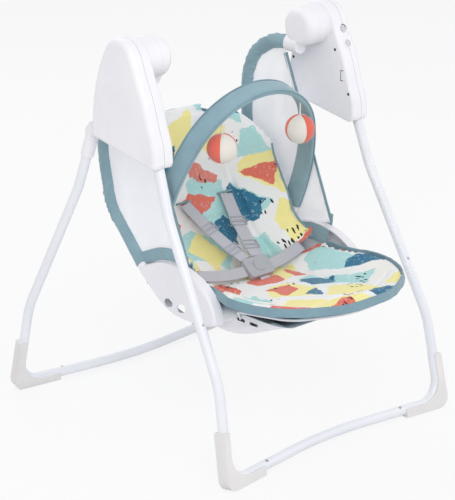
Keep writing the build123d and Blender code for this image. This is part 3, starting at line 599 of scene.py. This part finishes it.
PAD_STEPS = [
    (mark, (a.y, a.z), (b.y - a.y, b.z - a.z), (b - a).length)
    for mark, a, b in zip(middle_run.marks, middle_run.path, middle_run.path[1:])
]
PAD_JOINT = (middle_run.marks[9] + middle_run.marks[10]) / 2
PAD_JOINT_WAY = (middle_run.path[10] - middle_run.path[9]).normalized()
# The flaps dip where the two pads meet
FLAP_DROP = Vector((0, -0.010, -0.020))


def pad_edge(station, side, out=0.0):
    """The edge of a flap; out moves it away from the pad's face."""
    y, z, lean, thick, half, deep = station
    tip = math.radians(lean)
    return place(side * half, y - math.cos(tip) * (deep + out), z + math.sin(tip) * (deep + out))


def down_the_pad(point):
    """How far a point lies from the pad's middle line, how far along it, and the way its face looks there."""
    best = (1.0, 0.0, 0.0, 0.0)
    y, z = point.y, point.z
    for mark, (ay, az), (wy, wz), length in PAD_STEPS:
        share = min(max(((y - ay) * wy + (z - az) * wz) / length, 0.0), length)
        gap = math.hypot(y - ay - wy * share / length, z - az - wz * share / length)
        if gap < best[0]:
            best = (gap, mark + share, wz / length, -wy / length)
    return best[0], best[1], Vector((0, best[2], best[3]))


def sewn_pad(name, node, pressure, cap, seams, drawn):
    """A filled pad: swollen cloth drawn in along its sewn lines, with pulls beside them.

    Its end at the seam between the two pads is drawn towards the other pad.
    """
    mesh = remeshed(node_mesh(name, node), PAD_VOXEL)
    mesh = inflated(mesh, pressure, cap)
    mesh.update()
    layer = mesh.uv_layers.new(name="UVMap")
    spots_down = []
    lining = set()
    normals = [vert.normal.copy() for vert in mesh.vertices]
    for vert, normal in zip(mesh.vertices, normals):
        rise, down, face = down_the_pad(vert.co)
        flap = abs(vert.co.x) - PAD_CREASE
        wide = PAD_CREASE + math.hypot(flap, rise) if flap > 0 else abs(vert.co.x)
        spots_down.append((math.copysign(wide, vert.co.x), down))
        near = abs(down - PAD_JOINT)
        vert.co += PAD_JOINT_WAY * drawn * max(0.0, 1 - near / 0.03)
        vert.co += FLAP_DROP * min(max(rise / 0.05 - 0.3, 0.0), 1.0) * max(0.0, 1 - near / 0.07)
        up = normal.dot(face)
        if up < -0.1:
            lining.add(vert.index)
        if up < 0.2:
            continue
        sink = 0.0
        for seam in seams:
            gap, share = seam(vert.co.x, down)
            pull = ripple(vert.co.x * 90, down * 90, 2.0)
            sink += share * SEAM_DEEP * math.exp(-((gap / SEAM_WIDE) ** 2))
            sink += share * PUCKER_DEEP * pull * math.exp(-((gap / PUCKER_WIDE) ** 2))
        sink += 0.0011 * ripple(vert.co.x * 22 + down * 9, down * 26, 7.0)
        vert.co -= normal * sink * min(1.0, up * 1.6)
    for loop in mesh.loops:
        layer.data[loop.index].uv = spots_down[loop.vertex_index]
    pad = keep(name, mesh, "swing", pad_print, (node,))
    mesh.materials.append(teal_sling)
    for face in mesh.polygons:
        face.material_index = int(all(k in lining for k in face.vertices))
    fine = pad.modifiers.new("fine", "SUBSURF")
    fine.levels = fine.render_levels = 1
    return pad


def side_seam(x, down):
    """The two sewn lines down the back and under the thighs."""
    return abs(abs(x) - PAD_CREASE), 1.0 if 0.10 < down < 0.62 else 0.0


def waist_seam(x, down):
    return abs(down - middle_run.marks[7]), 0.45 if abs(x) < PAD_CREASE else 0.0


def front_seam(x, down):
    """The line round the lobe, a hand's breadth inside its rim."""
    return abs(down - 0.69 + 1.6 * x * x), 0.4 if abs(x) < 0.15 else 0.0


back_cushion = sewn_pad("back_cushion", "back_pad", 4.0, 0.006, (side_seam, waist_seam), 0.004)
sewn_pad("seat_cushion", "seat_pad", 4.0, 0.005, (side_seam, front_seam), -0.004)

edge_of_back = kdtree.KDTree(len(back_cushion.data.vertices))
for vert in back_cushion.data.vertices:
    edge_of_back.insert(vert.co, vert.index)
edge_of_back.balance()
for letter, side in SIDES:
    rim = smooth_path([pad_edge(station, side) for station in BACK_STATIONS[4:]])
    rim = [edge_of_back.find(point)[0] for point in rim]
    for k in range(12):
        inner = [(a + b * 2 + c) / 4 for a, b, c in zip(rim, rim[1:], rim[2:])]
        rim = [rim[0], *inner, rim[-1]]
    piping("back_cushion_piping_" + letter, rim, 0.0022, "swing", teal_tape)


def ribbon(
    name, run, width, out, material, thick=0.002, wave=0.0, proud=0.0, replaced=(),
):
    """A flat band of the seat along a run; out(spot, way) gives its outward side, width runs across both."""
    cuts = max(12, int(run.length / 0.005))

    def lay(u, v):
        spot, way = run.at(v)
        face = out(spot, way)
        across = way.cross(face).normalized()
        lift = proud + wave * ripple(v * run.length * 60, u * 1.5, 3.0)
        return spot + across * (u - 0.5) * width + face * lift

    mesh = surface(name, 10, cuts, lay, thick=thick)
    return keep(name, mesh, "swing", material, replaced)


HEM_DROP = 0.017
lobe = SEAT_STATIONS[1:]
hem_line = [pad_edge(s, -1) for s in lobe] + [pad_edge(s, 1) for s in reversed(lobe)]
hem_run = Run([p + Vector((0, 0, -HEM_DROP * 0.55)) for p in smooth_path(hem_line)])


def away_from_seat(spot, way):
    """Level and outwards from the middle of the lobe, leaning in below."""
    flat = Vector((way.y, -way.x, 0)).normalized()
    out = flat if flat.dot(spot - place(0, -200, spot.z / MM)) > 0 else -flat
    return (out + Vector((0, 0, 0.25))).normalized()


ribbon("lobe_hem", hem_run, HEM_DROP, away_from_seat, teal_tape, 0.003, wave=0.0016, proud=0.0024)

# Arm sleeves, wings and sling

ARM_CORNERS = ((0, 724), (146, 724), (149, 540), (126, 432), (28, 330))
ARM_TURNS = (0.108, 0.220, 0.110)
SLEEVE_TOP = 0.0243
SLEEVE_FOOT = 0.006
SLEEVE_DEPTH = 0.0142
SLEEVE_WIDTH = 0.0122


def arm_run(side):
    return Run(rounded_path([place(side * 195, y, z) for y, z in ARM_CORNERS], ARM_TURNS))


def gathered_sleeve(letter, side):
    """A cloth sleeve over the arm, flattened in front where it is sewn, gathered round the bend."""
    run = arm_run(side)
    low = SLEEVE_TOP / run.length
    high = 1 - SLEEVE_FOOT / run.length

    def skin(u, v):
        spot, way = run.at(low + (high - low) * v)
        front = Vector((0, way.z, -way.y))
        out = Vector((side, 0, 0))
        turn = 2 * math.pi * u
        c, s = math.cos(turn), math.sin(turn)
        bend = math.exp(-(((v - 0.20) / 0.15) ** 2)) + 0.7 * math.exp(-(((v - 0.72) / 0.12) ** 2))
        slant = v * run.length * 105 + 2.6 * c - 1.1 * s
        fold = (2 * abs(ripple(slant, 1.4 * s + side, 1.0)) - 0.4) * (0.0006 + 0.0036 * bend)
        tail = 0.0016 * max(0.0, c) ** 3
        end = min(1.0, 0.86 + 9 * v)
        deep = (SLEEVE_DEPTH + fold + tail) * end
        mouth = 0.0016 * max(0.0, (v - 0.88) / 0.12)
        wide = (SLEEVE_WIDTH + mouth + fold * 0.7) * end * (1 - 0.35 * max(0.0, c) ** 2)
        return spot + front * c * deep + out * s * wide

    name = "arm_sleeve_cloth_" + letter
    mesh = surface(name, 40, 190, skin, closed=True, thick=0.0012)
    return keep(name, mesh, "swing", teal_sleeve, ("arm_sleeve_" + letter,))


WING_FRONT = ((36, 700), (-103, 366))
BAND_TALL = 0.024
BAND_THICK = 0.003
SHELL_TOP = ((38, 331), (-2, 349), (-33, 360), (-72, 364), (-106, 360))


def wing(letter, side):
    """A net panel from the arm to its bound front edge, slack between them."""
    run = arm_run(side)
    low = SLEEVE_TOP / run.length
    high = 1 - SLEEVE_FOOT / run.length
    head, foot = (place(side * 195, y, z) for y, z in WING_FRONT)

    def outwards(spot, way):
        return Vector((side, 0, 0))

    def spread(u, v):
        spot, way = run.at(low + (high - low) * v)
        rear = spot + Vector((0, way.z, -way.y)) * (SLEEVE_DEPTH - 0.002)
        front = head.lerp(foot, v**1.25)
        slack = math.sin(math.pi * u) * math.sin(math.pi * min(1, v * 1.1))
        crease = ripple(u * 2.2 + v * 3.1, v * 1.6 - u * 2.4, 4.0 + side)
        out = slack * (0.007 + 0.005 * crease)
        return rear.lerp(front, u) + Vector((side * out, 0, 0))

    name = "wing_net_" + letter
    mesh = surface(name, 36, 70, spread, thick=0.0008)
    for item in mesh.uv_layers[0].data:
        item.uv = (item.uv[0] * 0.2, item.uv[1] * 0.5)
    panel = keep(name, mesh, "swing", white_net, ("side_mesh_" + letter,))
    # A band gets its thickness towards +X, so the left ones start that much further out
    shift = Vector((min(side, 0) * BAND_THICK, 0, 0))
    edge = Run([head.lerp(foot, (k / 60) ** 1.25) + shift for k in range(61)])
    ribbon("wing_front_tape_" + letter, edge, 0.010, outwards, teal_tape, BAND_THICK, wave=0.0006)
    top = smooth_path([place(side * 196.5, y, z) for y, z in SHELL_TOP])
    band = Run([p + shift + Vector((0, 0, BAND_TALL / 2)) for p in top])
    ribbon("wing_foot_band_" + letter, band, BAND_TALL, outwards, teal_sling, BAND_THICK, wave=0.001)
    liner = Run([Vector((side * 0.1866, p.y, p.z - 0.025)) for p in top])
    ribbon("shell_liner_" + letter, liner, 0.036, outwards, teal_sling, 0.0006)


for letter, side in SIDES:
    gathered_sleeve(letter, side)
    wing(letter, side)

SLING_LINE = ((160, 596), (160, 540), (137, 432), (61, 353))
sling_run = Run(rounded_path([place(0, y, z) for y, z in SLING_LINE], (0.22, 0.11)))
SLING_HALF = 0.1865


def hung_sling(u, v):
    """The cloth behind the pad; its head is cut in an arch that stays below the pad's."""
    x = (u - 0.5) * 2 * SLING_HALF
    head = (0.008 + 1.9 * x * x) / sling_run.length
    spot, way = sling_run.at(head + (1 - head) * v)
    back = Vector((0, -way.z, way.y))
    sag = 0.003 * math.sin(math.pi * u) + 0.0016 * ripple(u * 7, v * 5, 2.0)
    return spot + back * sag + Vector((x, 0, 0))


sling_mesh = surface("back_sling_cloth", 60, 60, hung_sling, thick=0.0016)
sling = keep("back_sling_cloth", sling_mesh, "swing", teal_sling, ("back_sling",))
sling_head = [hung_sling(k / 40, 0.0) for k in range(41)]
piping("back_sling_hem", sling_head, 0.0028, "swing", teal_tape)

# Harness

WEB_WIDTH = 0.025
SHOULDER_WIDTH = 0.030
WEB_THICK = 0.002


def bowed(start, end, sag, across):
    """The line of a strap between two points, bowed towards the pad, with the way its face looks."""
    run = end - start
    wide = (across - run * (across.dot(run) / run.length_squared)).normalized()
    face = wide.cross(run).normalized()
    line = []
    for k in range(41):
        t = k / 40
        line.append(start + run * t + face * (sag * 4 * t * (1 - t) + WEB_THICK / 2))
    return Run(line), face


def webbing(name, node, start, end, sag, across, width=WEB_WIDTH):
    run, face = bowed(start, end, sag, across)
    ribbon(
        name, run, width, lambda spot, way: (face - way * face.dot(way)).normalized(),
        grey_webbing, WEB_THICK, wave=0.0005, replaced=(node,),
    )


SHOULDER_X = 56
BUCKLE_REACH = 0.0238
BUCKLE = place(0, -93, 313)
BUCKLE_UP = Vector((0, math.cos(math.radians(38)), math.sin(math.radians(38))))
for letter, side in SIDES:
    across = Vector((1, 0, 0))
    start = place(side * SHOULDER_X, 64, 420)
    end = BUCKLE + across * side * 0.016 + BUCKLE_UP * BUCKLE_REACH
    strap = "shoulder_strap_" + letter
    webbing("shoulder_webbing_" + letter, strap, start, end, 0.006, across, SHOULDER_WIDTH)
    start = place(side * 140, -74, 322)
    end = BUCKLE + across * side * 0.0328 - BUCKLE_UP * 0.002
    webbing("waist_webbing_" + letter, "waist_strap_" + letter, start, end, -0.009 * side, BUCKLE_UP)
    # A thin dark teal strip where the strap goes through the pad: the stitched slit, with painted shadow
    # standing in for the shade in it.
    slit = Run([place(side * (SHOULDER_X + half), 68, 423) for half in (-19, 19)])
    ribbon("strap_slit_shadow_" + letter, slit, 0.004, lambda spot, way: Vector((0, -0.75, 0.66)), teal_tape, 0.003)
end = BUCKLE - BUCKLE_UP * BUCKLE_REACH
start = Vector((0, end.y - 0.006, 0.2904))
webbing("crotch_webbing", "crotch_strap", start, end, 0.0005, Vector((1, 0, 0)))

# Toy bar, strings and balls

BAR_FOOT = place(0, 10, 366)
BAR_LINE = Vector((0, -114, 317))
BAR_UP = BAR_LINE.normalized()
BAR_FACE = Vector((0, BAR_UP.z, -BAR_UP.y))
BAR_WIDE = 0.188
BAR_WIDE_UP = 0.075
BAR_CROWN = 0.168
COVER_FOOT = 0.024


def arch_points():
    """The middle line of the arch in its own plane, from the left foot of the cover over to the right."""
    crown = BAR_LINE.length * MM - BAR_CROWN
    drop = crown - BAR_WIDE_UP
    flank = (BAR_WIDE**2 + drop**2 - BAR_CROWN**2) / (2 * (BAR_WIDE - BAR_CROWN))
    meet = math.atan2(drop, flank - BAR_WIDE)
    start = math.asin((COVER_FOOT - BAR_WIDE_UP) / flank)
    half = []
    for k in range(24):
        turn = start + (meet - start) * k / 24
        half.append((flank * math.cos(turn) + BAR_WIDE - flank, BAR_WIDE_UP + flank * math.sin(turn)))
    for k in range(41):
        turn = meet + (math.pi / 2 - meet) * k / 40
        half.append((BAR_CROWN * math.cos(turn), crown + BAR_CROWN * math.sin(turn)))
    whole = [(-x, y) for x, y in half] + [(x, y) for x, y in reversed(half[:-1])]
    return [BAR_FOOT + Vector((x, 0, 0)) + BAR_UP * y for x, y in whole]


arch_run = Run(arch_points())


def arch_frame(v):
    spot, way = arch_run.at(v)
    return spot, way, BAR_FACE.cross(way)


def bar_cover(u, v):
    """A flat cloth tube round the arch, softly wrinkled, squared off at its feet."""
    spot, way, out = arch_frame(v)
    turn = 2 * math.pi * u
    c, s = math.cos(turn), math.sin(turn)
    fold = 0.0006 * ripple(v * 42 + c, s * 2.0, 5.0) + 0.0004 * ripple(v * 160, s * 1.2, 8.0)
    thick = math.copysign(abs(c) ** 0.6, c) * (0.0060 + fold)
    wide = math.copysign(abs(s) ** 0.45, s) * 0.0212
    return spot + out * thick + BAR_FACE * wide


cover_mesh = surface("toy_bar_cover", 44, 220, bar_cover, closed=True, thick=0.001)
keep("toy_bar_cover", cover_mesh, "toy_bar", teal_bar)
for k, way in enumerate((-1, 1)):
    edge = []
    for j in range(161):
        spot, along, out = arch_frame(j / 160)
        edge.append(spot - out * 0.0048 + BAR_FACE * way * 0.0208)
    piping("toy_bar_edge_%d" % k, edge, 0.0014, "toy_bar", teal_tape)

def stuffed_ball(letter, body, turn):
    """A ball of four gores drawn in along their seams; turn is the first seam's place about the upright."""
    low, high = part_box("toy_ball_" + letter)
    centre = (low + high) / 2
    radius = (high.z - low.z) / 2
    gore = math.pi / 2
    bm = bmesh.new()
    bmesh.ops.create_uvsphere(bm, u_segments=64, v_segments=40, radius=radius)
    for vert in bm.verts:
        around = math.atan2(vert.co.y, vert.co.x) - turn
        level = vert.co.z / radius
        gap = abs((around + gore / 2) % gore - gore / 2) * math.sqrt(max(0, 1 - level * level))
        lumps = 0.012 * ripple(vert.co.x * 90, vert.co.y * 90, vert.co.z * 90)
        drawn = 1 - 0.045 * math.exp(-((gap / 0.07) ** 2)) + lumps
        vert.co = Vector((vert.co.x * drawn, vert.co.y * drawn, vert.co.z * min(drawn, 1.0))) + centre
    name = "toy_ball_cloth_" + letter
    mesh = bpy.data.meshes.new(name)
    bm.to_mesh(mesh)
    bm.free()
    plush = gored("two-colour plush " + letter, centre, turn)
    ball = keep(name, mesh, body, plush, ("toy_ball_" + letter,))
    return ball


def toy_cord(letter, body, ball):
    """The string that a ball hangs by, with a slight kink."""
    low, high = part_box("toy_string_" + letter)
    x, y = (low.x + high.x) / 2, (low.y + high.y) / 2
    curve = bpy.data.curves.new("toy_cord_" + letter, "CURVE")
    curve.dimensions = "3D"
    curve.bevel_depth = CORD_WIDE / 2
    curve.bevel_resolution = 4
    curve.use_fill_caps = True
    spline = curve.splines.new("NURBS")
    spline.points.add(4)
    for k, point in enumerate(spline.points):
        share = k / 4
        kink = (0.0003 * math.sin(7 * share), 0.0004 * math.sin(5 * share))
        point.co = (x + kink[0], y + kink[1], high.z + (low.z - high.z) * share, 1)
    spline.order_u = 3
    spline.use_endpoint_u = True
    cord = bpy.data.objects.new("toy_cord_" + letter, curve)
    bpy.context.scene.collection.objects.link(cord)
    curve.materials.append(cord_yarn)
    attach(cord, body)
    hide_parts("toy_string_" + letter)


CORD_WIDE = 0.0028
for letter, body, seam in (("L", "toy_left", -139.8), ("R", "toy_right", 163.7)):
    toy_cord(letter, body, stuffed_ball(letter, body, math.radians(seam)))

# Finishes of the CAD pieces

CAD_FINISHES = (
    (tube_paint, ("front_leg", "front_base", "rear_base", "rear_leg_L", "rear_leg_R", "arm_tube")),
    (tube_paint, ("footrest_wire",)),
    (warm_shell, ("front_foot", "rear_foot")),
    (housing_shell, ("housing_outer", "housing_inner")),
    (panel_face, ("control_panel",)),
    (white_shell, ("rear_leg_bracket", "arm_hub", "side_shell", "seat_pan", "toy_bar")),
    (pale_grey, ("speed_key", "timer_key")),
    (dark_steel, ("housing_screws",)),
    (bright_steel, ("leg_pivot_pins", "swing_shafts", "snap_buttons", "magnet_lever", "battery_cells")),
    (dark_plastic, ("shaft_bushes", "drive_shelves")),
    (copper, ("drive_coil",)),
    (grey_plastic, ("buckle", "strap_adjusters")),
)
for material, starts in CAD_FINISHES:
    for name, obj in nodes.items():
        if name.startswith(starts):
            obj.data.materials.clear()
            obj.data.materials.append(material)

# Stage

SKY_LIGHT = 0.72


def seen_directly(start):
    """1 for rays that show the background: from the camera, or off gloss or through glass."""
    kinds = ("Camera", "Glossy", "Transmission")
    camera, gloss, glass = (start.node("LightPath", out="Is %s Ray" % kind) for kind in kinds)
    return camera.maths("MAXIMUM", camera, gloss.maths("MAXIMUM", gloss, glass))


def studio():
    """A pale floor, soft lamps and the photograph's camera."""
    bm = bmesh.new()
    bmesh.ops.create_grid(bm, x_segments=1, y_segments=1, size=14.0)
    mesh = bpy.data.meshes.new("floor")
    bm.to_mesh(mesh)
    bm.free()
    floor = bpy.data.objects.new("floor", mesh)
    bpy.context.scene.collection.objects.link(floor)
    made, start, shader = finish("floor paper", Base_Color=(0.86, 0.86, 0.865, 1), Roughness=0.9)
    plain = start.node("Emission", None, {"Color": (0.985, 0.985, 0.99, 1), "Strength": 1.0})
    lit = Shade(start.tree, shader.outputs[0])
    mixed = start.node("MixShader", None, {0: seen_directly(start) * 0.82, 1: lit, 2: plain})
    start.tree.links.new(mixed.socket, start.tree.nodes["Material Output"].inputs["Surface"])
    mesh.materials.append(made)

    world = bpy.data.worlds.new("studio")
    bpy.context.scene.world = world
    world.use_nodes = True
    start = Shade(world.node_tree)
    back = world.node_tree.nodes["Background"]
    back.inputs["Color"].default_value = (0.98, 0.99, 1.0, 1)
    strength = seen_directly(start) * (1 - SKY_LIGHT) + SKY_LIGHT
    world.node_tree.links.new(strength.socket, back.inputs["Strength"])

    for name, spot, size, power in (
        ("key", (-1.8, -2.2, 2.5), 2.2, 44),
        ("fill", (2.4, -1.6, 1.5), 2.4, 12),
        ("rim", (0.4, 2.4, 2.6), 2.0, 20),
    ):
        lamp = bpy.data.lights.new(name, "AREA")
        lamp.size = size
        lamp.energy = power
        obj = bpy.data.objects.new(name, lamp)
        obj.location = spot
        obj.rotation_euler = (Vector((0, 0, 0.45)) - Vector(spot)).to_track_quat("-Z", "Y").to_euler()
        bpy.context.scene.collection.objects.link(obj)

    lens = bpy.data.cameras.new("photograph")
    lens.lens = 136.81
    lens.sensor_width = 36.0
    lens.clip_end = 50.0
    camera = bpy.data.objects.new("photograph", lens)
    right = Vector((0.7393, -0.6734, 0.0)).normalized()
    back = Vector((-0.6369, -0.6992, 0.3247)).normalized()
    turn = Matrix((right, back.cross(right), back)).transposed()
    camera.matrix_world = Matrix.Translation((-2.4686, -2.7126 + SET_BACK, 1.5844)) @ turn.to_4x4()
    bpy.context.scene.collection.objects.link(camera)
    bpy.context.scene.camera = camera
    bpy.context.scene.view_settings.view_transform = "Standard"


studio()
